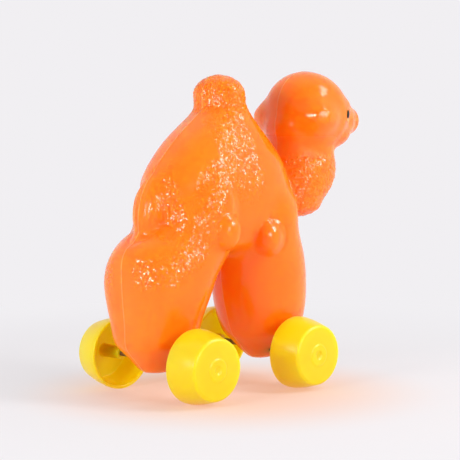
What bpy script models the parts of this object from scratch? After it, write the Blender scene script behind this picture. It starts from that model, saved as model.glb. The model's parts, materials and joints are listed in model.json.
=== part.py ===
"""Wheeled toy camel: a hollow blow-moulded body that rolls on two wheelsets.

Metres, +Z up. The camel faces +X and its left side is +Y. The origin is on the floor, under the middle
of the toy's length. The legs carry the axles in plain round holes, and each axle has a wheel pressed on
both of its ends, so a wheelset turns as one.
"""

import math

import bmesh
import bpy
from mathutils import Matrix, Vector

MM = 0.001

# Wheels and axles
WHEEL_D = 40.0 * MM  # at the inner rim, which the toy stands on
WHEEL_WIDTH = 18.4 * MM
TREAD_DROP = 3.5 * MM  # how much the tread narrows towards the outer face
WHEEL_EDGE_R = 1.8 * MM
RIM_BAND = 3.0 * MM  # straight stretch of the tread beside the inner rim
RIM_WALL = 1.8 * MM
FACE_WALL = 2.2 * MM
BOSS_D = 11.0 * MM  # low round boss in the middle of the outer face
BOSS_RISE = 0.5 * MM
DIMPLE_D = 4.4 * MM  # dimple in the middle of the boss
DIMPLE_DEPTH = 0.7 * MM
HUB_D = 6.8 * MM
HUB_CHAMFER = 0.8 * MM
HUB_PROUD = 0.2 * MM  # how far the hub stands past the inner rim, towards the leg
AXLE_D = 3.0 * MM
AXLE_COVER = 4.0 * MM  # wheel left between the hub's blind bore and the outer face
AXLE_CHAMFER = 0.4 * MM
AXLE_END_GAP = 0.3 * MM
PRESS_GAP = 0.1 * MM  # between axle and hub
AXLE_PLAY = 0.3 * MM  # between axle and leg
WHEELBASE = 75.0 * MM
TRACK = 61.4 * MM  # between the inner rims of a wheelset

# Body shell
WALL = 2.0 * MM
SOLE_ROUND = 3.0 * MM  # height over which a sole rounds off
HAUNCH_ROUND = 8.0 * MM  # height over which the top of the rear leg rounds off
BELLY_ROUND = 9.0 * MM  # height over which the belly rounds off
HOCK_REACH = 24.4 * MM  # rear leg, behind the rear axle
NOSE_REACH = 79.7 * MM  # nose tip, ahead of the front axle
TUFT_ROUND = 10.5 * MM  # height over which the tuft on the hump rounds off
BREAST_ROUND = 9.0 * MM  # height over which the breast under the neck rounds off

# Body sections in millimetres: height over the axle line, back end, front end, half width, and the
# superellipse power of the back half: 2 is an ellipse, less is more pointed, more is squarer
REAR_LEG = (  # from the rear axle
    (-4.5, -10.6, 9.6, 9.6, 2.2),
    (1.0, -15.6, 14.4, 14.2, 2.2),
    (5.5, -19.6, 18.2, 18.0, 2.4),
    (9.0, -22.0, 20.4, 20.6, 2.6),
    (20.0, -22.5, 22.0, 23.4, 2.9),
    (36.0, -24.0, 27.5, 27.8, 3.0),
    (46.0, -HOCK_REACH / MM, 32.0, 28.9, 2.8),
    (56.0, -24.0, 40.5, 28.8, 2.2),
    (62.0, -20.5, 45.0, 27.5, 2.1),
    (68.0, -12.5, 47.0, 26.0, 2.2),
    (76.0, -5.0, 48.0, 20.0, 2.0),
)
FRONT_LEG = (  # from the front axle
    (-4.5, -6.6, 12.4, 9.0, 2.0),
    (-0.5, -11.4, 17.0, 12.8, 2.0),
    (3.2, -14.4, 19.6, 15.5, 2.0),
    (8.3, -19.6, 24.4, 21.0, 2.0),
    (20.0, -24.0, 28.0, 25.2, 2.0),
    (36.0, -27.7, 30.0, 25.6, 2.0),
    (52.0, -28.5, 27.5, 26.5, 2.0),
    (68.0, -27.0, 20.5, 28.0, 2.0),
    (84.0, -22.0, 17.5, 27.5, 2.0),
    (98.0, -20.0, 11.5, 20.0, 2.0),
)
TORSO = (  # back end from the rear axle, front end from the front axle
    (64.0, -8.0, 22.0, 20.5, 2.0),
    (76.0, -7.0, 21.0, 26.0, 1.95),
    (88.0, -7.0, 17.4, 28.5, 1.9),
    (98.0, -4.6, 14.0, 28.0, 2.1),
    (108.0, 3.2, 9.2, 26.0, 2.4),
    (120.0, 14.6, -1.2, 22.3, 2.5),
    (134.0, 31.5, -14.0, 16.5, 2.3),
    (144.0, 40.0, -20.0, 12.0, 2.0),
)
TUFT = (  # from the rear axle
    (124.0, 34.5, 60.0, 16.5, 2.0),
    (144.0, 33.0, 57.5, 17.2, 2.0),
)
NECK = (  # from the front axle
    (82.0, 10.0, 46.0, 16.5, 2.0),
    (92.0, 11.5, 54.5, 18.5, 2.0),
    (101.0, 13.0, 57.0, 19.0, 2.0),
    (113.0, 15.2, 56.0, 17.3, 2.0),
    (124.0, 16.0, 56.0, 17.5, 2.0),
)
ROUND_FRONT = 2.0  # superellipse powers of the front half
FULL_FRONT = 2.4

# Head: places from the front axle and the axle line
HEAD_R = (24.8 * MM, 25.6 * MM, 23.5 * MM)  # towards the chin, sideways, towards the forehead
HEAD_TURN = math.radians(45)  # leans the head's upper end forwards
HEAD_AHEAD = 39.5 * MM
HEAD_UP = 133.9 * MM
NAPE_R = (21.9 * MM, 23.2 * MM, 18.0 * MM)
NAPE_BEHIND = 4.0 * MM  # from the head's middle
NAPE_BELOW = 8.0 * MM
JAW_R = (19.0 * MM, 19.0 * MM, 11.5 * MM)
JAW_AHEAD = 10.5 * MM  # from the head's middle
JAW_BELOW = 11.0 * MM
BROW_R = (10.0 * MM, 10.0 * MM, 8.0 * MM)  # outwards, along the head, upwards
BROW_SINK = 8.5 * MM
BROW_ABOVE = 3.0 * MM  # above the head's middle
BROW_TURN = math.radians(45)  # from straight ahead
NOSE_R = (9.0 * MM, 11.0 * MM, 9.5 * MM)
NOSE_UP = 129.3 * MM
CHEEK_R = (16.0 * MM, 16.5 * MM, 15.5 * MM)
CHEEK_BEHIND = 13.0 * MM  # from the nose's middle
CHEEK_ABOVE = 0.5 * MM
EAR_R = (16.0 * MM, 14.0 * MM, 13.0 * MM)  # outwards, along the head, upwards
EAR_SINK = 9.0 * MM
EAR_BELOW = 2.5 * MM  # below the head's middle
EAR_TURN = math.radians(117)  # from straight ahead
EAR_DIMPLE_R = 3.4 * MM
EAR_DIMPLE_DEPTH = 1.0 * MM
EYE_D = 4.6 * MM
EYE_TURN = math.radians(60)  # from straight ahead
EYE_BELOW = 1.0 * MM  # below the head's middle
EYE_SEAT = 1.0 * MM  # depth of the eye's socket
EYE_PROUD = 0.5 * MM
EYE_GAP = 0.2 * MM

# Swellings on the flanks: radii, then place from the named axle, from the middle plane, over the axle line
THIGH_R = (17.5 * MM, 12.0 * MM, 34.0 * MM)
THIGH_AT = (16.5 * MM, 17.0 * MM, 72.0 * MM)  # rear axle
THIGH_TURN = math.radians(18)  # its front end points outwards
THIGH_LEAN = math.radians(25)  # its upper end leans forwards
KNEE_R = (8.6 * MM, 7.0 * MM, 10.2 * MM)
KNEE_AT = (25.8 * MM, 28.0 * MM, 69.6 * MM)  # rear axle
ELBOW_R = (9.0 * MM, 7.2 * MM, 10.6 * MM)
ELBOW_AT = (-13.5 * MM, 22.8 * MM, 64.6 * MM)  # front axle
TAIL_R = (6.5 * MM, 10.3 * MM, 18.0 * MM)
TAIL_AT = (-4.6 * MM, 0.0, 84.0 * MM)  # rear axle
TAIL_LEAN = math.radians(14)

# Mesh fineness
SIDES = 48  # around a body section
LEAST_SHRINK = 0.05  # share of a section left at the tip of a rounded end
BALL_LEVELS = 3
RING_STEP = 3.0 * MM
SKIN_VOXEL = 1.8 * MM
SKIN_SMOOTHING = 4
SMOOTH_FACTOR = 0.5
SKIN_KEEP = 0.13  # share of the triangles kept
CAVITY_VOXEL = 3.0 * MM
CAVITY_SMOOTHING = 4
CAVITY_KEEP = 0.15
WHEEL_STEPS = 32  # a multiple of 4, so that a flat of the tread is at the bottom
AXLE_STEPS = 24
EDGE_TURNS = [math.radians(a) for a in (0, 30, 60, 90)]  # points of a rounded edge
SHARP_ANGLE = math.radians(35)
CUT_MARGIN = 12.0 * MM  # how far a cutter runs past what it cuts
WELD = 0.001 * MM  # points nearer than this are one

# Places worked out from the sizes
AXLE_UP = WHEEL_D / 2
REAR_AXLE_X = -(WHEELBASE + NOSE_REACH - HOCK_REACH) / 2
FRONT_AXLE_X = REAR_AXLE_X + WHEELBASE
AXLE_SEAT = WHEEL_WIDTH - AXLE_COVER - AXLE_END_GAP  # reach into a wheel, from the inner rim
HEAD_AT = Vector((FRONT_AXLE_X + HEAD_AHEAD, 0, AXLE_UP + HEAD_UP))
NAPE_AT = HEAD_AT - Vector((NAPE_BEHIND, 0, NAPE_BELOW))
JAW_AT = HEAD_AT + Vector((JAW_AHEAD, 0, -JAW_BELOW))
NOSE_AT = Vector((FRONT_AXLE_X + NOSE_REACH - NOSE_R[0], 0, AXLE_UP + NOSE_UP))
CHEEK_AT = NOSE_AT + Vector((-CHEEK_BEHIND, 0, CHEEK_ABOVE))
HEAD_AXES = Matrix.Rotation(HEAD_TURN, 3, "Y")
SIDES_OF_BODY = {"left": 1, "right": -1}


def clear_scene():
    """Remove whatever the file opened with."""
    for thing in list(bpy.data.objects):
        bpy.data.objects.remove(thing, do_unlink=True)


def make_material(name, colour, roughness, metallic=0.0):
    """Principled material with one colour, given as linear RGB."""
    material = bpy.data.materials.new(name)
    material.use_nodes = True
    shader = material.node_tree.nodes["Principled BSDF"]
    shader.inputs["Base Color"].default_value = (*colour, 1)
    shader.inputs["Roughness"].default_value = roughness
    shader.inputs["Metallic"].default_value = metallic
    return material


def add_object(name, shape, material=None):
    """Turn a bmesh into a named, smooth-shaded object of the scene."""
    bmesh.ops.recalc_face_normals(shape, faces=shape.faces)
    mesh = bpy.data.meshes.new(name)
    shape.to_mesh(mesh)
    shape.free()
    mesh.shade_smooth()
    mesh.set_sharp_from_angle(angle=SHARP_ANGLE)
    thing = bpy.data.objects.new(name, mesh)
    bpy.context.scene.collection.objects.link(thing)
    if material:
        mesh.materials.append(material)
    return thing


def add_empty(name, place):
    """Empty that carries the pieces of one moving body."""
    thing = bpy.data.objects.new(name, None)
    thing.location = place
    bpy.context.scene.collection.objects.link(thing)
    return thing


def add_cutter(name, shape):
    """Object that only cuts others."""
    thing = add_object(name, shape)
    thing.hide_render = True
    thing.display_type = "WIRE"
    return thing


def cut(thing, cutter):
    """Take the cutter's shape out of an object."""
    modifier = thing.modifiers.new(f"cut {cutter.name}", "BOOLEAN")
    modifier.operation = "DIFFERENCE"
    modifier.solver = "EXACT"
    modifier.object = cutter


def signed_power(value, power):
    """Power that keeps the sign of its base."""
    return math.copysign(abs(value) ** power, value)


def section_at(sections, up):
    """Back end, front end, half width and power at a height, by a cubic through the sections.

    Each stretch is a Hermite cubic whose end slopes are those of the chord between the neighbours.
    """
    last = len(sections) - 2
    i = max(0, min(last, sum(up >= s[0] for s in sections) - 1))
    before, low, high, after = (sections[max(0, min(last + 1, i + k))] for k in (-1, 0, 1, 2))
    span = high[0] - low[0]
    t = (up - low[0]) / span
    values = []
    for k in range(1, len(low)):
        slope_low = (high[k] - before[k]) / (high[0] - before[0]) * span
        slope_high = (after[k] - low[k]) / (after[0] - low[0]) * span
        values.append(
            low[k] * (1 + 2 * t) * (1 - t) ** 2
            + slope_low * t * (1 - t) ** 2
            + high[k] * t * t * (3 - 2 * t)
            + slope_high * t * t * (t - 1)
        )
    return values


def add_loft(shape, sections, back_x, front_x, front_power, inset, round_below=0.0, round_above=0.0):
    """Closed solid through flat superellipse sections, which may round off below and above them.

    A rounded end is a quarter ellipse: at a share s of its height, the section shrinks by sqrt(1 - s^2).
    """
    low = sections[0][0] * MM
    high = sections[-1][0] * MM
    bottom = low - round_below + inset
    top = high + round_above - inset
    count = max(2, math.ceil((top - bottom) / RING_STEP))
    rings = []
    for i in range(count + 1):
        up = bottom + (top - bottom) * i / count
        back, front, half_width, back_power = section_at(sections, max(low, min(high, up)) / MM)
        back_end = back_x + back * MM + inset
        front_end = front_x + front * MM - inset
        below = (low - up) / (round_below - inset) if up < low else 0.0
        above = (up - high) / (round_above - inset) if up > high else 0.0
        shrink = max(LEAST_SHRINK, math.sqrt(max(0.0, 1 - max(below, above) ** 2)))
        middle = (back_end + front_end) / 2
        half_length = (front_end - back_end) / 2 * shrink
        half_width = (half_width * MM - inset) * shrink
        ring = []
        for k in range(SIDES):
            angle = 2 * math.pi * k / SIDES
            power = back_power if math.cos(angle) < 0 else front_power
            x = middle + half_length * signed_power(math.cos(angle), 2 / power)
            y = half_width * signed_power(math.sin(angle), 2 / power)
            ring.append(shape.verts.new((x, y, AXLE_UP + up)))
        rings.append(ring)
    for lower, upper in zip(rings, rings[1:]):
        for k in range(SIDES):
            shape.faces.new((lower[k - 1], lower[k], upper[k], upper[k - 1]))
    shape.faces.new(rings[0][::-1])
    shape.faces.new(rings[-1])


def add_ellipsoid(shape, place, radii, inset=0.0, turn=None):
    """Ellipsoid with its radii along the axes of an optional rotation."""
    scale = Matrix.Diagonal((*(r - inset for r in radii), 1))
    turn = turn.to_4x4() if turn else Matrix.Identity(4)
    matrix = Matrix.Translation(place) @ turn @ scale
    bmesh.ops.create_icosphere(shape, subdivisions=BALL_LEVELS, radius=1, matrix=matrix)


def add_rod(shape, place, direction, radius, length, steps):
    """Cylinder about a point, along a direction."""
    turn = Vector(direction).to_track_quat("Z", "Y").to_matrix().to_4x4()
    bmesh.ops.create_cone(
        shape,
        cap_ends=True,
        segments=steps,
        radius1=radius,
        radius2=radius,
        depth=length,
        matrix=Matrix.Translation(place) @ turn,
    )


def turn_profile(profile, steps):
    """Solid turned about Z from a closed outline of (radius, height) points.

    The flats touch the true circles: a corner is at radius / cos(pi / steps).
    """
    shape = bmesh.new()
    corner = 1 / math.cos(math.pi / steps)
    rings = []
    for k in range(steps):
        angle = 2 * math.pi * (k + 0.5) / steps
        ray = Vector((math.cos(angle), math.sin(angle), 0)) * corner
        rings.append([shape.verts.new(ray * r + Vector((0, 0, z))) for r, z in profile])
    for k in range(steps):
        near, far = rings[k - 1], rings[k]
        for i in range(len(profile)):
            shape.faces.new((near[i - 1], far[i - 1], far[i], near[i]))
    bmesh.ops.remove_doubles(shape, verts=shape.verts, dist=WELD)
    bmesh.ops.dissolve_degenerate(shape, edges=shape.edges, dist=WELD)
    return shape


def out_from_head(angle, side):
    """Level direction from the head's middle, turned from straight ahead to one side."""
    return Vector((math.cos(angle), side * math.sin(angle), 0))


def on_head(angle, side, below):
    """Point of the head's surface, turned from straight ahead to one side, and the direction there."""
    out = out_from_head(angle, side)
    along = HEAD_AXES.transposed() @ out
    reach = 1 / Vector(c / r for c, r in zip(along, HEAD_R)).length
    return HEAD_AT + out * reach - Vector((0, 0, below)), out


def at_axle(axle_x, place, side):
    """World place of a swelling given from an axle and the middle plane."""
    return Vector((axle_x + place[0], side * place[1], AXLE_UP + place[2]))


def add_main_forms(shape, inset):
    """Legs, torso, tuft, neck, head, nape, jaw and muzzle, all drawn in by the same distance."""
    add_loft(shape, REAR_LEG, REAR_AXLE_X, REAR_AXLE_X, FULL_FRONT, inset, SOLE_ROUND, HAUNCH_ROUND)
    add_loft(shape, FRONT_LEG, FRONT_AXLE_X, FRONT_AXLE_X, ROUND_FRONT, inset, SOLE_ROUND)
    add_loft(shape, TORSO, REAR_AXLE_X, FRONT_AXLE_X, FULL_FRONT, inset, BELLY_ROUND)
    add_loft(shape, TUFT, REAR_AXLE_X, REAR_AXLE_X, ROUND_FRONT, inset, 0.0, TUFT_ROUND)
    add_loft(shape, NECK, FRONT_AXLE_X, FRONT_AXLE_X, ROUND_FRONT, inset, BREAST_ROUND)
    add_ellipsoid(shape, HEAD_AT, HEAD_R, inset, HEAD_AXES)
    add_ellipsoid(shape, NAPE_AT, NAPE_R, inset)
    add_ellipsoid(shape, JAW_AT, JAW_R, inset)
    add_ellipsoid(shape, CHEEK_AT, CHEEK_R, inset)
    add_ellipsoid(shape, NOSE_AT, NOSE_R, inset)


def add_swellings(shape):
    """Tail, and what both sides of the body have: ears, brows, thighs, knees and elbows."""
    add_ellipsoid(shape, at_axle(REAR_AXLE_X, TAIL_AT, 1), TAIL_R, turn=Matrix.Rotation(TAIL_LEAN, 3, "Y"))
    for side in SIDES_OF_BODY.values():
        root, out = on_head(EAR_TURN, side, EAR_BELOW)
        add_ellipsoid(shape, root - out * EAR_SINK, EAR_R, turn=Matrix.Rotation(side * EAR_TURN, 3, "Z"))
        root, out = on_head(BROW_TURN, side, -BROW_ABOVE)
        add_ellipsoid(shape, root - out * BROW_SINK, BROW_R, turn=Matrix.Rotation(side * BROW_TURN, 3, "Z"))
        thigh_turn = Matrix.Rotation(side * THIGH_TURN, 3, "Z") @ Matrix.Rotation(THIGH_LEAN, 3, "Y")
        add_ellipsoid(shape, at_axle(REAR_AXLE_X, THIGH_AT, side), THIGH_R, turn=thigh_turn)
        add_ellipsoid(shape, at_axle(REAR_AXLE_X, KNEE_AT, side), KNEE_R)
        add_ellipsoid(shape, at_axle(FRONT_AXLE_X, ELBOW_AT, side), ELBOW_R)


def melt(thing, voxel, smoothing, keep):
    """Merge an object's overlapping forms into one skin, soften their joins and thin the mesh."""
    remesh = thing.modifiers.new("merge forms", "REMESH")
    remesh.mode = "VOXEL"
    remesh.voxel_size = voxel
    soften = thing.modifiers.new("soften joins", "SMOOTH")
    soften.factor = SMOOTH_FACTOR
    soften.iterations = smoothing
    thin = thing.modifiers.new("thin mesh", "DECIMATE")
    thin.ratio = keep


def make_body(material):
    """Hollow body with its axle holes, eye sockets and ear dimples."""
    forms = bmesh.new()
    add_main_forms(forms, 0.0)
    add_swellings(forms)
    body = add_object("body_shell", forms, material)
    melt(body, SKIN_VOXEL, SKIN_SMOOTHING, SKIN_KEEP)
    halves = body.modifiers.new("equal halves", "MIRROR")
    halves.use_axis = (False, True, False)
    halves.use_bisect_axis = (False, True, False)
    halves.use_bisect_flip_axis = (False, True, False)
    halves.bisect_threshold = WELD
    halves.merge_threshold = WELD

    hollow = bmesh.new()
    add_main_forms(hollow, WALL)
    cavity = add_cutter("body_cavity", hollow)
    melt(cavity, CAVITY_VOXEL, CAVITY_SMOOTHING, CAVITY_KEEP)
    cut(body, cavity)

    holes = bmesh.new()
    for x in (REAR_AXLE_X, FRONT_AXLE_X):
        add_rod(holes, (x, 0, AXLE_UP), (0, 1, 0), AXLE_D / 2 + AXLE_PLAY, TRACK, AXLE_STEPS)
    cut(body, add_cutter("axle_holes", holes))

    marks = bmesh.new()
    for side in SIDES_OF_BODY.values():
        socket, gaze = on_head(EYE_TURN, side, EYE_BELOW)
        depth = EYE_SEAT + CUT_MARGIN
        add_rod(marks, socket + gaze * (depth / 2 - EYE_SEAT), gaze, EYE_D / 2 + EYE_GAP, depth, AXLE_STEPS)
        root, out = on_head(EAR_TURN, side, EAR_BELOW)
        ear_tip = root + out * (EAR_R[0] - EAR_SINK)
        dimple_r = (EAR_DIMPLE_DEPTH, EAR_DIMPLE_R, EAR_DIMPLE_R)
        add_ellipsoid(marks, ear_tip, dimple_r, turn=Matrix.Rotation(side * EAR_TURN, 3, "Z"))
    cut(body, add_cutter("face_marks", marks))


def make_eye(name, side, material):
    """Round-topped eye that sits in its socket."""
    profile = [(0, EYE_GAP), (EYE_D / 2, EYE_GAP)]
    profile += [(EYE_D / 2 * math.cos(a), EYE_SEAT + EYE_PROUD * math.sin(a)) for a in EDGE_TURNS]
    eye = add_object(name, turn_profile(profile, AXLE_STEPS), material)
    socket, gaze = on_head(EYE_TURN, side, EYE_BELOW)
    eye.location = socket - gaze * EYE_SEAT
    eye.rotation_euler = gaze.to_track_quat("Z", "Y").to_euler()


def wheel_profile():
    """Outline of a wheel: blind hub bore, hub, hollow back, tread, rounded edge, boss and dimple."""
    bore_r = AXLE_D / 2 + PRESS_GAP
    bore_end = AXLE_SEAT + AXLE_END_GAP
    floor = WHEEL_WIDTH - FACE_WALL
    rim_r = WHEEL_D / 2
    face_r = rim_r - TREAD_DROP
    taper = TREAD_DROP / (WHEEL_WIDTH - RIM_BAND)
    floor_r = rim_r - taper * (floor - RIM_BAND) - RIM_WALL
    edge_low = WHEEL_WIDTH - WHEEL_EDGE_R
    edge_r = face_r - WHEEL_EDGE_R
    outline = [(0, bore_end), (bore_r, bore_end), (bore_r, -HUB_PROUD)]
    outline += [(HUB_D / 2 - HUB_CHAMFER, -HUB_PROUD), (HUB_D / 2, HUB_CHAMFER - HUB_PROUD)]
    outline += [(HUB_D / 2, floor), (floor_r, floor), (rim_r - RIM_WALL, RIM_BAND), (rim_r - RIM_WALL, 0)]
    outline += [(rim_r, 0), (rim_r, RIM_BAND)]
    for angle in EDGE_TURNS:
        lean = taper * WHEEL_EDGE_R * (1 - math.sin(angle))
        radius = edge_r + WHEEL_EDGE_R * math.cos(angle) + lean
        outline.append((radius, edge_low + WHEEL_EDGE_R * math.sin(angle)))
    boss_top = WHEEL_WIDTH + BOSS_RISE
    dimple_end = boss_top - DIMPLE_DEPTH
    outline += [(BOSS_D / 2 + BOSS_RISE, WHEEL_WIDTH), (BOSS_D / 2, boss_top)]
    outline += [(DIMPLE_D / 2, boss_top), (DIMPLE_D / 4, dimple_end), (0, dimple_end)]
    return outline


def make_wheelset(end, axle_x, wheel_material, axle_material):
    """Axle with a wheel pressed on each end, under an empty on the axle line."""
    hub = add_empty(f"{end}_wheelset", (axle_x, 0, AXLE_UP))
    half = TRACK / 2 + AXLE_SEAT
    radius = AXLE_D / 2
    tip = radius - AXLE_CHAMFER
    profile = [(0, -half), (tip, -half), (radius, AXLE_CHAMFER - half)]
    profile += [(radius, half - AXLE_CHAMFER), (tip, half), (0, half)]
    axle = add_object(f"{end}_axle", turn_profile(profile, AXLE_STEPS), axle_material)
    axle.rotation_euler.x = math.pi / 2
    axle.parent = hub
    for name, side in SIDES_OF_BODY.items():
        shape = turn_profile(wheel_profile(), WHEEL_STEPS)
        wheel = add_object(f"{end}_{name}_wheel", shape, wheel_material)
        wheel.location.y = side * TRACK / 2
        wheel.rotation_euler.x = -side * math.pi / 2
        wheel.parent = hub


def main():
    clear_scene()
    orange = make_material("body_orange", (1.0, 0.20, 0.015), 0.32)
    yellow = make_material("wheel_yellow", (1.0, 0.58, 0.02), 0.30)
    steel = make_material("axle_steel", (0.16, 0.09, 0.05), 0.5, 0.9)
    black = make_material("eye_black", (0.01, 0.008, 0.008), 0.25)
    make_body(orange)
    for name, side in SIDES_OF_BODY.items():
        make_eye(f"{name}_eye", side, black)
    make_wheelset("rear", REAR_AXLE_X, yellow, steel)
    make_wheelset("front", FRONT_AXLE_X, yellow, steel)
    bpy.context.view_layer.update()


main()
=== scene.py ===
# %% [markdown]
# A toy camel on wheels, dressed for its portrait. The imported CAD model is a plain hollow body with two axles
# and four wheels. This lesson gives each piece the surface of the real thing: the mould seam and the pebbled
# coat of a blow-moulded body, turned cup wheels, browned wire and black eyes.
# Everything is in metres in the CAD model's own frame: the camel faces +X and its left side is +Y.

# %% Load the frame
import json

import bmesh
import bpy
import numpy as np
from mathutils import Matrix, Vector

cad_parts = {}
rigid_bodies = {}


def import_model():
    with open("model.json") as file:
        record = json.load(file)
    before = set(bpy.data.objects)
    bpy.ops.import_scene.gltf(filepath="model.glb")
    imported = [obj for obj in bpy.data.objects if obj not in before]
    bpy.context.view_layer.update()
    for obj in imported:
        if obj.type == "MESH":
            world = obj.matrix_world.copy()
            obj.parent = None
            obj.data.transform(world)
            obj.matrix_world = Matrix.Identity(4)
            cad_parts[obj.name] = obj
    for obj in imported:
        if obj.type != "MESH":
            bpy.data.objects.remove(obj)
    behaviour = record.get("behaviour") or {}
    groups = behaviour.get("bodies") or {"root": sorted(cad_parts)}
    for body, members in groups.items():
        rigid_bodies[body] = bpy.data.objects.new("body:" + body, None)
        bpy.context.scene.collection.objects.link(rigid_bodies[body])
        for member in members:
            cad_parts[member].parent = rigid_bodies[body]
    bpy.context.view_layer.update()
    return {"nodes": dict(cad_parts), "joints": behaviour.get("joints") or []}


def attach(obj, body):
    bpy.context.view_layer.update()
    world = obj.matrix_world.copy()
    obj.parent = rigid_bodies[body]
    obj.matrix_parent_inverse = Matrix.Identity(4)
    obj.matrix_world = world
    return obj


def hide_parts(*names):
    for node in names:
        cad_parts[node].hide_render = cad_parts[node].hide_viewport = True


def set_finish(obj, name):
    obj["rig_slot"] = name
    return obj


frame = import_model()
MM = 0.001
print("CAD nodes:", ", ".join(sorted(frame["nodes"])))

# %% [markdown]
# The camera comes first, because every later choice is judged through it. It stands behind the camel and to
# its right, a little above the back, with a long lens. A camera could be aimed with a constraint, but a
# rotation worked out once leaves nothing live in the scene, and lamps can use the same function.

# %% Camera
AIM = np.array((-11.55, 0.0, 87.8)) * MM
CAMERA_TURN, CAMERA_RISE = np.radians((42.6, 4.18))
CAMERA_DISTANCE = 0.85
CAMERA_LENS = 118.1


def aimed(thing, place, aim):
    """Put an object at a place with its -Z axis along aim - place."""
    thing.location = place
    thing.rotation_euler = (Vector(aim) - Vector(place)).to_track_quat("-Z", "Y").to_euler()
    bpy.context.scene.collection.objects.link(thing)
    return thing


level = np.cos(CAMERA_RISE)
to_camera = np.array((-np.sin(CAMERA_TURN) * level, -np.cos(CAMERA_TURN) * level, np.sin(CAMERA_RISE)))
lens = bpy.data.cameras.new("portrait_lens")
lens.lens = CAMERA_LENS
lens.sensor_width = 36.0
camera = aimed(bpy.data.objects.new("portrait_camera", lens), AIM + CAMERA_DISTANCE * to_camera, AIM)
bpy.context.scene.camera = camera
print("camera at", np.round(camera.location, 3))

# %% [markdown]
# The body began as a few full forms: two legs, a torso that narrows to the hump, a tuft, a neck and a round
# head. Each one is a stack of superellipses, so it is a function of two parameters, height and angle. The
# tables give, in millimetres, the height over the axle line, the back end, the front end and the half width,
# and the power of the back half: 2 is an ellipse, less is more pointed, more is squarer.

# %% Forms of the body
REAR_X = frame["joints"][0]["pos_m"][0] / MM
FRONT_X = frame["joints"][1]["pos_m"][0] / MM
AXLE_UP = frame["joints"][0]["pos_m"][2] / MM
AXLES, SIDES = {"rear": REAR_X, "front": FRONT_X}, {"left": 1, "right": -1}
LEAST_SHRINK, TINY = 0.05, 0.001
REAR_LEG = (
    (-4.5, -10.6, 9.6, 9.6, 2.2),
    (1.0, -15.6, 14.4, 14.2, 2.2),
    (5.5, -19.6, 18.2, 18.0, 2.4),
    (9.0, -22.0, 20.4, 20.6, 2.6),
    (20.0, -22.5, 22.0, 23.4, 2.9),
    (36.0, -24.0, 27.5, 27.8, 3.0),
    (46.0, -24.4, 32.0, 28.9, 2.8),
    (56.0, -24.0, 40.5, 28.8, 2.2),
    (62.0, -20.5, 45.0, 27.5, 2.1),
    (68.0, -12.5, 47.0, 26.0, 2.2),
    (76.0, -5.0, 48.0, 20.0, 2.0),
)
FRONT_LEG = (
    (-4.5, -6.6, 12.4, 9.0, 2.0),
    (-0.5, -11.4, 17.0, 12.8, 2.0),
    (3.2, -14.4, 19.6, 15.5, 2.0),
    (8.3, -19.6, 24.4, 21.0, 2.0),
    (20.0, -24.0, 28.0, 25.2, 2.0),
    (36.0, -27.7, 30.0, 25.6, 2.0),
    (52.0, -28.5, 27.5, 26.5, 2.0),
    (68.0, -27.0, 20.5, 28.0, 2.0),
    (84.0, -22.0, 17.5, 27.5, 2.0),
    (98.0, -20.0, 11.5, 20.0, 2.0),
)
TORSO = (
    (64.0, -8.0, 22.0, 20.5, 2.0),
    (76.0, -7.0, 21.0, 26.0, 1.95),
    (88.0, -7.0, 17.4, 28.5, 1.9),
    (98.0, -4.6, 14.0, 28.0, 2.1),
    (108.0, 3.2, 9.2, 26.0, 2.4),
    (120.0, 14.6, -1.2, 22.3, 2.5),
    (134.0, 31.5, -14.0, 16.5, 2.3),
    (144.0, 40.0, -20.0, 12.0, 2.0),
)
TUFT = ((124.0, 34.5, 60.0, 16.5, 2.0), (144.0, 33.0, 57.5, 17.2, 2.0))
NECK = (
    (82.0, 10.0, 46.0, 16.5, 2.0),
    (92.0, 11.5, 54.5, 18.5, 2.0),
    (101.0, 13.0, 57.0, 19.0, 2.0),
    (113.0, 15.2, 56.0, 17.3, 2.0),
    (124.0, 16.0, 56.0, 17.5, 2.0),
)


def along_sections(sections, up):
    """Columns of a section table at many heights, by a cubic through its rows.

    A stretch of span s between rows a and b is the Hermite cubic
    a (1 + 2t)(1 - t)^2 + a' s t (1 - t)^2 + b t^2 (3 - 2t) + b' s t^2 (t - 1),
    and the slope at a row is that of the chord between its neighbours.
    """
    table = np.array(sections)
    height, columns = table[:, 0], table[:, 1:]
    row = np.arange(len(height))
    before, after = np.maximum(row - 1, 0), np.minimum(row + 1, row[-1])
    slope = (columns[after] - columns[before]) / (height[after] - height[before])[:, None]
    i = np.clip(np.searchsorted(height, up, side="right") - 1, 0, row[-1] - 1)
    span = (height[i + 1] - height[i])[:, None]
    t = (up - height[i])[:, None] / span
    rise = columns[i] * (1 + 2 * t) * (1 - t) ** 2 + columns[i + 1] * t * t * (3 - 2 * t)
    return rise + span * (slope[i] * t * (1 - t) ** 2 + slope[i + 1] * t * t * (t - 1))


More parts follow.
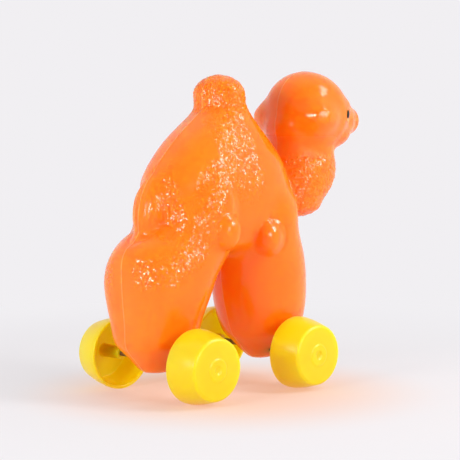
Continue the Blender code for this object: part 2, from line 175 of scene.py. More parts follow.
def loft(sections, back_x, front_x, front_power, round_below=0.0, round_above=0.0, rows=72, sides=96):
    """Surface P(u, v): at height u, a superellipse |x / a|^n + |y / b|^n = 1 turned through the angle v.

    Past the first or last section, over a height r, the section shrinks by sqrt(1 - (past / r)^2).
    """
    low, high = sections[0][0], sections[-1][0]
    up = np.linspace(low - round_below, high + round_above, rows)
    back, front, half_width, back_power = along_sections(sections, np.clip(up, low, high)).T
    past = np.where(up < low, (low - up) / max(round_below, TINY), (up - high) / max(round_above, TINY))
    shrink = np.sqrt(1 - np.clip(past, 0, 1) ** 2).clip(LEAST_SHRINK)
    angle = np.linspace(0, 2 * np.pi, sides, endpoint=False)
    power = np.where(np.cos(angle) < 0, back_power[:, None], front_power)
    ahead, aside = (np.sign(w) * np.abs(w) ** (2 / power) for w in (np.cos(angle), np.sin(angle)))
    middle = (back + back_x + front + front_x) / 2
    half_length = (front + front_x - back - back_x) / 2 * shrink
    x = middle[:, None] + half_length[:, None] * ahead
    y = (half_width * shrink)[:, None] * aside
    z = np.broadcast_to((up + AXLE_UP)[:, None], x.shape)
    return np.stack((x, y, z), -1)


def turned_about(axis, angle):
    """Rotation matrix about Y or Z."""
    c, s = np.cos(angle), np.sin(angle)
    if axis == "Y":
        return np.array(((c, 0, s), (0, 1, 0), (-s, 0, c)))
    return np.array(((c, -s, 0), (s, c, 0), (0, 0, 1)))


def ellipsoid(centre, radii, turn=np.eye(3), rows=48, sides=64):
    """Surface P(u, v) = centre + turn (a cos u cos v, b cos u sin v, c sin u)."""
    u = np.linspace(-np.pi / 2, np.pi / 2, rows + 2)[1:-1, None]
    v = np.linspace(0, 2 * np.pi, sides, endpoint=False)
    ball = np.stack((np.cos(u) * np.cos(v), np.cos(u) * np.sin(v), np.sin(u) + 0 * v), -1)
    return np.array(centre) + (ball * radii) @ turn.T


ROUND, FULL = 2.0, 2.4
HEAD_R = np.array((24.8, 25.6, 23.5))
HEAD_TURN = turned_about("Y", np.radians(45))
HEAD_AT = np.array((FRONT_X + 39.5, 0.0, AXLE_UP + 133.9))
NAPE_AT, NAPE_R = HEAD_AT + (-4.0, 0.0, -8.0), np.array((21.9, 23.2, 18.0))
JAW_AT, JAW_R = HEAD_AT + (10.5, 0.0, -11.0), np.array((19.0, 19.0, 11.5))
NOSE_R = np.array((9.0, 11.0, 9.5))
NOSE_AT = np.array((FRONT_X + 79.7 - NOSE_R[0], 0.0, AXLE_UP + 129.3))
CHEEK_R = np.array((16.0, 16.5, 15.5))
CHEEK_AT = NOSE_AT - (13.0, 0.0, -0.5)
TAIL_AT, TAIL_R = np.array((REAR_X - 4.6, 0.0, AXLE_UP + 84.0)), np.array((6.5, 10.3, 18.0))
THIGH_AT, THIGH_R = np.array((REAR_X + 16.5, 17.0, AXLE_UP + 72.0)), np.array((17.5, 12.0, 34.0))
TAIL_LEAN, THIGH_LEAN, THIGH_TURN = np.radians((14, 25, 18))
EAR_TURN, EYE_TURN, BROW_TURN = np.radians((117, 60, 45))
EAR_R, BROW_R = np.array((16.0, 14.0, 13.0)), np.array((10.0, 10.0, 8.0))
EAR_SINK, BROW_SINK = 9.0, 8.5
EAR_BELOW, EYE_BELOW, BROW_ABOVE = 2.5, 1.0, 3.0
KNEE_AT, KNEE_R = np.array((REAR_X + 25.8, 28.0, AXLE_UP + 69.6)), np.array((8.6, 7.0, 10.2))
ELBOW_AT, ELBOW_R = np.array((FRONT_X - 13.5, 22.8, AXLE_UP + 64.6)), np.array((9.0, 7.2, 10.6))


def out_from_head(angle, side):
    """Level direction (cos a, side sin a, 0) from the head's middle."""
    return np.array((np.cos(angle), side * np.sin(angle), 0.0))


def on_head(angle, side, above, sink):
    """Point near the head's surface, whose distance along d is 1 / |d / r| in the axes of the ellipsoid."""
    out = out_from_head(angle, side)
    return HEAD_AT + out * (1 / np.linalg.norm(out @ HEAD_TURN / HEAD_R) - sink) + (0, 0, above)


forms = [
    loft(REAR_LEG, REAR_X, REAR_X, FULL, 3.0, 8.0),
    loft(FRONT_LEG, FRONT_X, FRONT_X, ROUND, 3.0),
    loft(TORSO, REAR_X, FRONT_X, FULL, 9.0),
    loft(TUFT, REAR_X, REAR_X, ROUND, 0.0, 10.5),
    loft(NECK, FRONT_X, FRONT_X, ROUND, 9.0),
    ellipsoid(HEAD_AT, HEAD_R, HEAD_TURN),
    ellipsoid(NAPE_AT, NAPE_R),
    ellipsoid(JAW_AT, JAW_R),
    ellipsoid(CHEEK_AT, CHEEK_R),
    ellipsoid(NOSE_AT, NOSE_R),
    ellipsoid(TAIL_AT, TAIL_R, turned_about("Y", TAIL_LEAN)),
]
for side in SIDES.values():
    aside = np.array((1, side, 1))
    ear_at = on_head(EAR_TURN, side, -EAR_BELOW, EAR_SINK)
    brow_at = on_head(BROW_TURN, side, BROW_ABOVE, BROW_SINK)
    thigh_turn = turned_about("Z", side * THIGH_TURN) @ turned_about("Y", THIGH_LEAN)
    forms += [
        ellipsoid(ear_at, EAR_R, turned_about("Z", side * EAR_TURN)),
        ellipsoid(brow_at, BROW_R, turned_about("Z", side * BROW_TURN)),
        ellipsoid(aside * THIGH_AT, THIGH_R, thigh_turn),
        ellipsoid(aside * KNEE_AT, KNEE_R),
        ellipsoid(aside * ELBOW_AT, ELBOW_R),
    ]
print(len(forms), "forms of", sum(f.shape[0] * f.shape[1] for f in forms), "points")

# %% [markdown]
# In the mould the forms are one skin. A boolean union would leave hard joins between them, so they are
# melted together by a voxel remesh and softened. Only the right half is kept, because the mould has two
# equal halves and the line where they meet has to be exact.

# %% Melt the forms into half a skin
SKIN_VOXEL = 1.4
SKIN_SMOOTHING = 12
SNAP = 0.25


def new_mesh(name, points, faces):
    """Mesh from points in millimetres and a list of faces."""
    mesh = bpy.data.meshes.new(name)
    mesh.from_pydata(points * MM, [], faces)
    mesh.shade_smooth()
    return mesh


def points_of(mesh):
    """Points of a mesh in millimetres."""
    flat = np.empty(len(mesh.vertices) * 3)
    mesh.vertices.foreach_get("co", flat)
    return flat.reshape(-1, 3) / MM


def ring_quads(index):
    """Quads between neighbouring rows of point numbers that close around their columns."""
    beside = np.roll(index, -1, 1)
    return np.stack((index[:-1], beside[:-1], beside[1:], index[1:]), -1).reshape(-1, 4).tolist()


def closed_grid(surface):
    """Points and faces of a grid that closes around its columns, with a flat cap on its end rows."""
    index = np.arange(surface.shape[0] * surface.shape[1]).reshape(surface.shape[:2])
    return surface.reshape(-1, 3), ring_quads(index) + [index[0, ::-1].tolist(), index[-1].tolist()]


def joined(parts):
    """Points and faces of several parts as one."""
    first, faces = 0, []
    for points, part_faces in parts:
        faces += [[first + i for i in face] for face in part_faces]
        first += len(points)
    return np.concatenate([points for points, _ in parts]), faces


def finished_mesh(thing):
    """The object's mesh with its modifiers applied."""
    bpy.context.view_layer.update()
    return bpy.data.meshes.new_from_object(thing.evaluated_get(bpy.context.evaluated_depsgraph_get()))


def melted(surfaces, voxel, smoothing):
    """One skin around closed surfaces: voxel remesh, then p' = (p + mean of its neighbours) / 2."""
    lump = bpy.data.objects.new("lump", new_mesh("lump", *joined([closed_grid(s) for s in surfaces])))
    bpy.context.scene.collection.objects.link(lump)
    remesh = lump.modifiers.new("merge", "REMESH")
    remesh.mode = "VOXEL"
    remesh.voxel_size = voxel * MM
    soften = lump.modifiers.new("soften", "SMOOTH")
    soften.factor = 0.5
    soften.iterations = smoothing
    skin = finished_mesh(lump)
    bpy.data.objects.remove(lump)
    return skin


half = bmesh.new()
half.from_mesh(melted(forms, SKIN_VOXEL, SKIN_SMOOTHING))
bmesh.ops.bisect_plane(
    half,
    geom=half.verts[:] + half.edges[:] + half.faces[:],
    dist=SNAP * SKIN_VOXEL * MM,
    plane_no=(0, 1, 0),
    use_snap_center=True,
    clear_outer=True,
)
print("half skin:", len(half.faces), "faces")

# %% [markdown]
# Some of the skin carries fine relief: pebbles on the tuft, the neck and parts of the flank and thigh, hair
# lines on the tail, the ring of the ear and the rim of the eye. A finer mesh all over would be heavy, so
# only the faces that need it are split. Soft masks say where, as functions of points of the right side in
# millimetres. An edge that bridges two points of the cut is split too, because its mirror image would
# otherwise be the same edge.

# %% Where the relief goes


def soft_step(low, high, value):
    """0 below low, 1 above high, and 3t^2 - 2t^3 between."""
    t = np.clip((value - low) / (high - low), 0, 1)
    return t * t * (3 - 2 * t)


def from_path(points, corners):
    """Distance in the side view from a path through corners, and the side: below 0 is on its right hand."""
    best, side = np.full(len(points), np.inf), np.ones(len(points))
    flat = points[:, (0, 2)]
    for start, end in zip(corners, corners[1:]):
        run = np.subtract(end, start)
        t = np.clip((flat - start) @ run / (run @ run), 0, 1)
        gap = flat - start - t[:, None] * run
        distance = np.linalg.norm(gap, axis=1)
        side = np.where(distance < best, np.sign(gap @ (-run[1], run[0])), side)
        best = np.minimum(distance, best)
    return best, side


def band(points, corners, half_width):
    """1 along a path of the side view, 0 past its half width, with a soft edge."""
    return 1 - soft_step(0.7 * half_width, 1.3 * half_width, from_path(points, corners)[0])


def on_tuft(p):
    """1 on the tuft of the hump, but not on the head behind it."""
    return soft_step(151.5, 154.5, p[:, 2]) * (1 - soft_step(4, 10, p[:, 0]))


def on_neck(p):
    """1 on the neck below the head and in front of the hump."""
    x, _, z = p.T
    ahead = soft_step(24, 28, x + (z - 110) * 0.05)
    return ahead * soft_step(84, 90, z) * (1 - soft_step(127, 131.5, z))


HAUNCH_CREST = ((-88, 68), (-75, 71), (-63, 78), (-56, 87), (-50, 105), (-43, 120))
RUMP_SLOPE = ((-72, 113), (-68, 90))
HUMP_SLOPE = ((-31, 156), (-28, 140), (-23, 116))
FLANK_BANDS = ((HAUNCH_CREST, 8), (RUMP_SLOPE, 8), (HUMP_SLOPE, 12))
TAIL_WIDE, TAIL_HIGH, KNOBS = 10.6, 18.5, ((KNEE_AT, KNEE_R), (ELBOW_AT, ELBOW_R))
FINE_SEAM, FINE_KNOB, FINE_TAIL, FINE_RING, FINEST_RING = 2.0, 1.3, 1.25, 5.5, 5
NOWHERE = 99.0


def on_flank(p):
    """1 on the pebbled bands of haunch, rump and hump, away from the ridge of the seam."""
    away_from_ridge = soft_step(6, 10, -p[:, 1])
    bands = [band(p, corners, half_width) for corners, half_width in FLANK_BANDS]
    return away_from_ridge * np.maximum.reduce(bands)


def from_line(points, start, direction):
    """Distance of points from a line through a start."""
    offset = points - start
    return np.linalg.norm(offset - np.outer(offset @ direction, direction), axis=1)


EAR_OUT, EYE_OUT = out_from_head(EAR_TURN, -1), out_from_head(EYE_TURN, -1)


def near_ear(p):
    """Distance from the middle line of the ear, on its side of the head."""
    distance = from_line(p, HEAD_AT - (0, 0, EAR_BELOW), EAR_OUT)
    return np.where((p - HEAD_AT) @ EAR_OUT > 0, distance, NOWHERE)


def near_eye(p):
    """Distance from the middle line of the eye, on its side of the head."""
    distance = from_line(p, HEAD_AT - (0, 0, EYE_BELOW), EYE_OUT)
    return np.where((p - HEAD_AT) @ EYE_OUT > 0, distance, NOWHERE)


def tail_reach(p):
    """1 on the tail's outline as seen from behind, less inside it: a drop that is pointed at its top."""
    up = p[:, 2] - TAIL_AT[2]
    narrow = 1 - 0.5 * soft_step(-6, 19, up)
    reach = np.hypot(p[:, 1] / (TAIL_WIDE * narrow), up / TAIL_HIGH)
    return np.where(p[:, 0] < REAR_X + 6, reach, NOWHERE)


def knob_reach(p, centre, radii):
    """1 on the outline of a knob as seen from the side, less inside it."""
    reach = np.hypot((p[:, 0] - centre[0]) / radii[0], (p[:, 2] - centre[2]) / radii[2])
    return np.where(p[:, 1] < -15, reach, NOWHERE)


def with_coat(p):
    """1 wherever the skin is pebbled."""
    return np.maximum.reduce((on_tuft(p), on_neck(p), on_flank(p)))


def wants_fine(p):
    """Whether relief finer than the voxels is near."""
    fine = (with_coat(p) > 0.02) | (p[:, 1] > -FINE_SEAM) | (tail_reach(p) < FINE_TAIL)
    for knob in KNOBS:
        fine |= knob_reach(p, *knob) < FINE_KNOB
    return fine | (near_ear(p) < FINE_RING) | (near_eye(p) < FINE_RING)


def wants_finest(p):
    """Whether the rim of the eye is near."""
    return near_eye(p) < FINEST_RING


def split(shape, wanted):
    """Split once, both ways, the faces whose middle is wanted."""
    middles = np.array([face.calc_center_median() for face in shape.faces]) / MM
    edges = {edge for face, yes in zip(shape.faces, wanted(middles)) if yes for edge in face.edges}
    bmesh.ops.subdivide_edges(shape, edges=list(edges), cuts=1, use_grid_fill=True)


split(half, wants_fine)
split(half, wants_finest)
bmesh.ops.triangulate(half, faces=half.faces)
bridges = [e for e in half.edges if not e.is_boundary and all(v.is_boundary for v in e.verts)]
bmesh.ops.subdivide_edges(half, edges=bridges, cuts=1)
bmesh.ops.triangulate(half, faces=half.faces)
half_mesh = bpy.data.meshes.new("half_skin")
half.to_mesh(half_mesh)
half.free()
print("half skin, split where it is fine:", len(half_mesh.polygons), "triangles")

# %% [markdown]
# The relief itself is a height over the skin, along its normal. The mould halves meet at a low keel with a
# thin line of flash. Pebbles are domes around scattered centres: each point looks for the nearest centre in
# the cells of a jittered grid, as a Voronoi texture does, but here it becomes shape and shows on the
# outline. Before that, three places are smoothed where the melting left a ridge: round the ear, in the fold
# under the belly and on the shoulder. The left half is the mirror image of the right, and both share the
# points of the rim.

# %% Relief of the skin
KEEL_RISE, KEEL_WIDTH, KEEL_SINK = 0.7, 6.0, 0.3
FLASH_RISE, FLASH_WIDTH = 0.16, 0.35
PEBBLE_PITCH, COARSE_RISE, FLANK_RISE = 2.3, 0.28, 0.1
COARSE_SEED, FLANK_SEED = 3.0, 11.0
TAIL_RISE, TAIL_HAIR, TAIL_HAIR_PITCH = 0.9, 0.08, 3.2
TAIL_GROOVE, TAIL_GROOVE_AT, TAIL_GROOVE_WIDTH = 0.5, 1.08, 0.09
STRAND_RISE, STRAND_PITCH, STRAND_LEAN, STRAND_UP = 0.25, 2.2, 0.15, 160
EAR_RING_R, EAR_RING_RISE, EAR_DIP_R, EAR_DIP = 3.9, 0.15, 3.2, 0.3
EYE_RING_R, EYE_RING_RISE, RING_WIDTH = 3.7, 0.3, 0.7
KNOB_GROOVE, KNOB_GROOVE_AT, KNOB_GROOVE_WIDTH = 0.35, 1.03, 0.1
CREASE_STEP, CREASE_REACH, CREASE_WIDTH = 0.25, 8, 1.6
SKIN_ROUNDS, EAR_ROUNDS, RIDGE_ROUNDS = 3, 30, 40
RIM_GAP = 0.03


def scattered(cells, seed):
    """Repeatable numbers from 0 to 1, three for each whole-numbered cell, by the usual sine hash."""
    key = cells @ np.array((127.1, 311.7, 74.7)) + seed
    return np.modf(np.abs(np.sin(np.outer(key, (1.0, 1.7, 2.3))) * 43758.5453))[0]


def pebbles(points, pitch, seed, radius=0.52):
    """Domes 1 - (d / radius)^2 about the nearest of centres scattered one to a cell, d in cells."""
    place = points / pitch
    cell = np.floor(place)
    nearest = np.full(len(points), np.inf)
    steps = np.stack(np.meshgrid(*[(-1, 0, 1)] * 3), -1).reshape(-1, 3)
    for step in steps:
        centre = cell + step + 0.1 + 0.8 * scattered(cell + step, seed)
        nearest = np.minimum(nearest, np.linalg.norm(place - centre, axis=1))
    return np.clip(1 - (nearest / radius) ** 2, 0, 1)


def smoothed(points, edges, rounds, share=1.0):
    """Points moved p' = p + share (mean of its neighbours - p) / 2, with the seam kept on its plane."""
    seam = points[:, 1] == 0
    ends, others = edges.T.ravel(), edges[:, ::-1].T.ravel()
    count = np.bincount(ends, minlength=len(points))[:, None]
    for _ in range(rounds):
        sums = [np.bincount(ends, points[others, k], len(points)) for k in range(3)]
        points = points + share * (np.stack(sums, -1) / count - points) / 2
        points[seam, 1] = 0
    return points


def normals_of(points, triangles):
    """Unit sum of the area vectors of the triangles round each point, level with the seam on it."""
    a, b, c = (points[triangles[:, k]] for k in range(3))
    area = np.cross(b - a, c - a)
    corners = triangles.T.ravel()
    sums = [np.bincount(corners, np.tile(area[:, k], 3), len(points)) for k in range(3)]
    normal = np.stack(sums, -1)
    normal[points[:, 1] == 0, 1] = 0
    return normal / np.maximum(np.linalg.norm(normal, axis=1, keepdims=True), 1e-9)


FOLD_AT = np.array((FRONT_X - 22.0, -14.0, AXLE_UP + 56.0))
SHOULDER_AT = np.array((FRONT_X - 4.2, -26.6, AXLE_UP + 85.0))
RUMP_FOLD_X, RUMP_FOLD_REACH, RUMP_FOLD_RISE = REAR_X - 1.0, 4.0, 0.8
THIGH_CREASE = ((-41.0, 146.0), (-39.6, 133.5), (-37.3, 117.5), (-34.3, 100.3))


def relief(p):
    """Height of the relief in millimetres at points of the right half."""
    x, y, z = p.T
    tail = tail_reach(p)
    off_tail = soft_step(0.9, 1.2, tail)
    on_body = soft_step(95, 112, z) * (1 - soft_step(16, 26, x)) * off_tail
    height = KEEL_RISE * on_body * (np.exp(y / KEEL_WIDTH) - KEEL_SINK)
    height += FLASH_RISE * off_tail * np.exp(-((y / FLASH_WIDTH) ** 2))
    coarse = np.maximum(on_tuft(p) * soft_step(1, 5, -y), on_neck(p))
    height += COARSE_RISE * coarse * pebbles(p, PEBBLE_PITCH, COARSE_SEED)
    height += FLANK_RISE * on_flank(p) * pebbles(p, PEBBLE_PITCH, FLANK_SEED)
    low = 1 - soft_step(106, 122, z)
    groove = np.exp(-(((tail - TAIL_GROOVE_AT) / TAIL_GROOVE_WIDTH) ** 2))
    height += low * (TAIL_RISE * (1 - soft_step(0.8, 1.02, tail)) - TAIL_GROOVE * groove)
    height += TAIL_HAIR * (1 - soft_step(0.6, 0.95, tail)) * np.cos(2 * np.pi * y / TAIL_HAIR_PITCH)
    across = (x - RUMP_FOLD_X) / RUMP_FOLD_REACH
    beside_tail = off_tail * soft_step(7, 10, -y) * soft_step(80, 89, z) * (1 - soft_step(112, 122, z))
    height += RUMP_FOLD_RISE * beside_tail * across * np.exp((1 - across**2) / 2)
    strands = on_tuft(p) * (1 - soft_step(5, 9, -y)) * (1 - soft_step(-30, -26, x))
    turns = (y + STRAND_LEAN * (z - STRAND_UP)) / STRAND_PITCH
    height += STRAND_RISE * strands * np.cos(2 * np.pi * turns)
    ear = near_ear(p)
    height += EAR_RING_RISE * np.exp(-(((ear - EAR_RING_R) / RING_WIDTH) ** 2))
    height -= EAR_DIP * np.clip(1 - (ear / EAR_DIP_R) ** 2, 0, 1)
    height += EYE_RING_RISE * np.exp(-(((near_eye(p) - EYE_RING_R) / RING_WIDTH) ** 2))
    for knob in KNOBS:
        off_groove = (knob_reach(p, *knob) - KNOB_GROOVE_AT) / KNOB_GROOVE_WIDTH
        height -= KNOB_GROOVE * np.exp(-(off_groove**2))
    distance, side = from_path(p, THIGH_CREASE)
    flank = soft_step(10, 15, -y) * soft_step(94, 104, z) * (1 - 0.7 * soft_step(122, 136, z))
    step = (side < 0) * np.exp(-distance / CREASE_REACH) - np.exp(-((distance / CREASE_WIDTH) ** 2))
    return height + CREASE_STEP * flank * step


def on_rim(triangles, count):
    """Which points are on an edge that only one triangle has."""
    sides = np.sort(np.concatenate([triangles[:, (k, (k + 1) % 3)] for k in range(3)]), axis=1)
    pairs, uses = np.unique(sides, axis=0, return_counts=True)
    rim = np.zeros(count, bool)
    rim[pairs[uses == 1].ravel()] = True
    return rim


def parted(points, rim):
    """Points with the rim on the middle plane and all others a little to its right."""
    aside = np.where(rim, 0.0, np.minimum(points[:, 1], -RIM_GAP))
    return np.stack((points[:, 0], aside, points[:, 2]), -1)


def numbers_of(things, each):
    """Point numbers of edges or triangles, one row for each."""
    flat = np.empty(len(things) * each, int)
    things.foreach_get("vertices", flat)
    return flat.reshape(-1, each)


points = points_of(half_mesh)
edges, triangles = numbers_of(half_mesh.edges, 2), numbers_of(half_mesh.polygons, 3)
count = len(points)
rim = on_rim(triangles, count)
points = smoothed(parted(points, rim), edges, SKIN_ROUNDS)
around_ear = 1 - soft_step(13, 18, near_ear(points))
points = smoothed(points, edges, EAR_ROUNDS, around_ear[:, None])
for ridge_at in (FOLD_AT, SHOULDER_AT):
    in_reach = 1 - soft_step(9, 14, np.linalg.norm(points - ridge_at, axis=1))
    points = smoothed(points, edges, RIDGE_ROUNDS, in_reach[:, None])
points += normals_of(points, triangles) * relief(points)[:, None]
points = parted(points, rim)
twin = np.where(rim, np.arange(count), count + np.cumsum(~rim) - 1)
both = np.concatenate((points, points[~rim] * (1, -1, 1)))
skin_faces = np.concatenate((triangles, twin[triangles][:, ::-1]))
print("whole skin:", len(both), "points,", len(skin_faces), "triangles")

# %% [markdown]
# Wheels, axles and eyes are turned pieces, as on a lathe: an outline of radius and height carried round an
# axis. The same function serves them all. Small arcs replace the outline's sharp corners, because no moulded
# edge is quite sharp and the arc is what catches the light.

# %% Turning


def rounded(outline, radius, steps=4):
    """Outline with each corner replaced by a quadratic curve between points at most radius from it."""
    before, corner, after = outline[:-2], outline[1:-1], outline[2:]
    back, ahead = before - corner, after - corner
    back_length, ahead_length = (np.linalg.norm(w, axis=1, keepdims=True) for w in (back, ahead))
    cut = np.minimum(np.minimum(back_length, ahead_length) * 0.45, radius)
    start = (corner + back * cut / back_length)[:, None]
    end = (corner + ahead * cut / ahead_length)[:, None]
    t = np.linspace(0, 1, steps + 1)[None, :, None]
    curves = start * (1 - t) ** 2 + 2 * corner[:, None] * t * (1 - t) + end * t * t
    return np.concatenate((outline[:1], curves.reshape(-1, 2), outline[-1:]))


def turned(outline, steps, origin, axis, across):
    """Points and faces of P(t, v) = origin + r(t) (across cos v + (axis x across) sin v) + s(t) axis.

    The outline runs from one point of the axis to another, and each of these ends is a single point.
    """
    angle = np.linspace(0, 2 * np.pi, steps, endpoint=False)
    spokes = np.outer(np.cos(angle), across) + np.outer(np.sin(angle), np.cross(axis, across))
    rim = outline[1:-1]
    rings = origin + rim[:, :1, None] * spokes + rim[:, 1:, None] * np.array(axis)
    tips = origin + outline[(0, -1), 1:] * np.array(axis)
    index = np.arange(rings.shape[0] * steps).reshape(-1, steps)
    low, high = index.size, index.size + 1
    low_fan = np.stack((np.roll(index[0], -1), index[0], np.full(steps, low)), -1)
    high_fan = np.stack((index[-1], np.roll(index[-1], -1), np.full(steps, high)), -1)
    faces = ring_quads(index) + low_fan.tolist() + high_fan.tolist()
    return np.concatenate((rings.reshape(-1, 3), tips)), faces


def turn_outwards(mesh):
    """Point the faces of a closed mesh outwards."""
    shape = bmesh.new()
    shape.from_mesh(mesh)
    bmesh.ops.recalc_face_normals(shape, faces=shape.faces)
    shape.to_mesh(mesh)
    shape.free()


def add_piece(name, points, faces, body, node, slot):
    """Piece of the finished toy that rides on a body and stands for a CAD node."""
    piece = bpy.data.objects.new(name, new_mesh(name, points, faces))
    bpy.context.scene.collection.objects.link(piece)
    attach(piece, body)
    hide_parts(node)
    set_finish(piece, slot)
    return piece


def add_turned(name, outline, steps, origin, axis, across, body, node, slot):
    """Turned piece with its faces pointing outwards."""
    piece = add_piece(name, *turned(outline, steps, origin, axis, across), body, node, slot)
    turn_outwards(piece.data)
    return piece


print("turning is ready")

# %% [markdown]
# A wheel is a deep cup: a tread that narrows towards the closed outer face, and an open back with a hub
# tube for the axle. The outer face has a low ring and a dimple in its middle. The outline is drawn from the
# bottom of the hub's blind bore, round the back and the tread, to the middle of the dimple.

# %% Wheels
WHEEL_R, WHEEL_WIDTH, TRACK = 20.0, 18.4, 61.4
TREAD_DROP, RIM_BAND, RIM_WALL, FACE_WALL = 3.5, 3.0, 1.8, 2.2
BORE_R, BORE_END, HUB_R, HUB_PROUD, HUB_TAPER = 1.6, 14.4, 3.4, 0.2, 0.3
TREAD_BULGE, TREAD_SPARE, CUP_SPARE = 0.35, 0.4, 0.5
EDGE_ROUND, EDGE_DEPTH, CORNER = 2.2, 1.8, 0.5
BOSS_R, BOSS_TOP_R, BOSS_RISE = 6.3, 5.6, 0.5
DIMPLE_R, DIMPLE_FLOOR_R, DIMPLE_DEPTH, DIMPLE_SAG = 2.6, 1.6, 0.7, 0.05
WHEEL_SIDES, SMALL_SIDES = 96, 48
DOWN, UP, LEFT, AHEAD = (0.0, 0.0, -1.0), (0.0, 0.0, 1.0), (0.0, 1.0, 0.0), (1.0, 0.0, 0.0)


def wheel_outline():
    """Radius and distance from the inner rim: bore, hub, hollow back, tread, face, ring and dimple."""
    floor = WHEEL_WIDTH - FACE_WALL
    face_r = WHEEL_R - TREAD_DROP
    cup_r, floor_r = WHEEL_R - RIM_WALL, face_r + CUP_SPARE - RIM_WALL
    inside = [(0, BORE_END), (BORE_R, BORE_END), (BORE_R, -HUB_PROUD), (HUB_R, -HUB_PROUD)]
    inside += [(HUB_R + HUB_TAPER, floor), (floor_r, floor), (cup_r, RIM_BAND), (cup_r, 0)]
    rim = rounded(np.array(inside + [(WHEEL_R, 0), (WHEEL_R, RIM_BAND)], float), CORNER)
    tread_r, tread_end = face_r + TREAD_SPARE, WHEEL_WIDTH - EDGE_DEPTH
    t = np.linspace(0.06, 1, 14)
    radius = WHEEL_R + (tread_r - WHEEL_R) * t + TREAD_BULGE * np.sin(np.pi * t)
    tread = np.stack((radius, RIM_BAND + (tread_end - RIM_BAND) * t), -1)
    a = np.linspace(0, np.pi / 2, 9)[1:]
    edge = np.stack((tread_r - EDGE_ROUND * (1 - np.cos(a)), tread_end + EDGE_DEPTH * np.sin(a)), -1)
    top = WHEEL_WIDTH + BOSS_RISE
    dimple = top - DIMPLE_DEPTH
    face = [(BOSS_R, WHEEL_WIDTH), (BOSS_TOP_R, top), (DIMPLE_R, top)]
    face += [(DIMPLE_FLOOR_R, dimple), (0, dimple - DIMPLE_SAG)]
    middle = rounded(np.array([edge[-1], *face], float), CORNER)
    return np.concatenate((rim, tread, edge, middle[1:]))


for end, axle_x in AXLES.items():
    for name, side in SIDES.items():
        node, body = f"{end}_{name}_wheel", f"{end}_wheelset"
        origin = np.array((axle_x, side * TRACK / 2, AXLE_UP))
        stand = (origin, (0.0, float(side), 0.0), DOWN)
        add_turned(f"{node}_cup", wheel_outline(), WHEEL_SIDES, *stand, body, node, "wheel_yellow")
print("wheel outline:", len(wheel_outline()), "points")

# %% [markdown]
# The axles are plain wire with chamfered ends, and the eyes are shallow black domes that sit in sockets.
# Sockets and axle holes are cut from the skin with one boolean, because they are sharp and round.

# %% Axles, eyes and the cut skin
AXLE_R, AXLE_HALF, AXLE_CHAMFER, AXLE_RINGS, PLAY = 1.5, TRACK / 2 + 14.1, 0.4, 40, 0.3
EYE_R, EYE_SEAT, EYE_PROUD, EYE_GAP, SOCKET_REACH = 2.3, 1.0, 0.55, 0.2, 12.0
SHARP_EDGE = np.radians(50)

for end, axle_x in AXLES.items():
    along = np.linspace(-AXLE_HALF + AXLE_CHAMFER, AXLE_HALF - AXLE_CHAMFER, AXLE_RINGS)
    length = np.stack((np.full(AXLE_RINGS, AXLE_R), along), -1)
    tip_r = AXLE_R - AXLE_CHAMFER
    tips = [(0, -AXLE_HALF), (tip_r, -AXLE_HALF)], [(tip_r, AXLE_HALF), (0, AXLE_HALF)]
    outline = np.concatenate((tips[0], length, tips[1]))
    stand = (np.array((axle_x, 0, AXLE_UP)), LEFT, DOWN)
    node, body = f"{end}_axle", f"{end}_wheelset"
    add_turned(f"{node}_wire", outline, SMALL_SIDES, *stand, body, node, "axle_steel")

cutters = []
for name, side in SIDES.items():
    gaze = out_from_head(EYE_TURN, side)
    seat = on_head(EYE_TURN, side, -EYE_BELOW, EYE_SEAT)
    a = np.linspace(0, np.pi / 2, 13)
    dome = np.stack((EYE_R * np.cos(a), EYE_SEAT + EYE_PROUD * np.sin(a)), -1)
    outline = np.concatenate(([(0, EYE_GAP), (EYE_R, EYE_GAP)], dome))
    stand = (seat, gaze, UP)
    add_turned(f"{name}_eye_bead", outline, SMALL_SIDES, *stand, "camel", f"{name}_eye", "eye_black")
    socket_r = EYE_R + EYE_GAP
    socket = np.array([(0, 0), (socket_r, 0), (socket_r, SOCKET_REACH), (0, SOCKET_REACH)])
    cutters.append(turned(socket, SMALL_SIDES, *stand))
for axle_x in AXLES.values():
    hole_r = AXLE_R + PLAY
    hole = np.array([(0, -TRACK / 2), (hole_r, -TRACK / 2), (hole_r, TRACK / 2), (0, TRACK / 2)])
    cutters.append(turned(hole, SMALL_SIDES, np.array((axle_x, 0, AXLE_UP)), LEFT, DOWN))

skin = add_piece("camel_skin", both, skin_faces.tolist(), "camel", "body_shell", "body_orange")
cutter = bpy.data.objects.new("cutter", new_mesh("cutter", *joined(cutters)))
bpy.context.scene.collection.objects.link(cutter)
turn_outwards(cutter.data)
bore = skin.modifiers.new("holes", "BOOLEAN")
bore.operation = "DIFFERENCE"
bore.solver = "MANIFOLD"
bore.object = cutter
cut_mesh = finished_mesh(skin)
skin.modifiers.clear()
skin.data = cut_mesh
bpy.data.objects.remove(cutter)
skin.data.shade_smooth()
skin.data.set_sharp_from_angle(angle=SHARP_EDGE)
print("cut skin:", len(skin.data.vertices), "points,", len(skin.data.polygons), "faces")

# %% [markdown]
# Shader maths reads best as plain expressions. A small class wraps a node's output socket: adding or
# multiplying two of them adds a Math node, and one method makes any other node.

# %% Shader maths


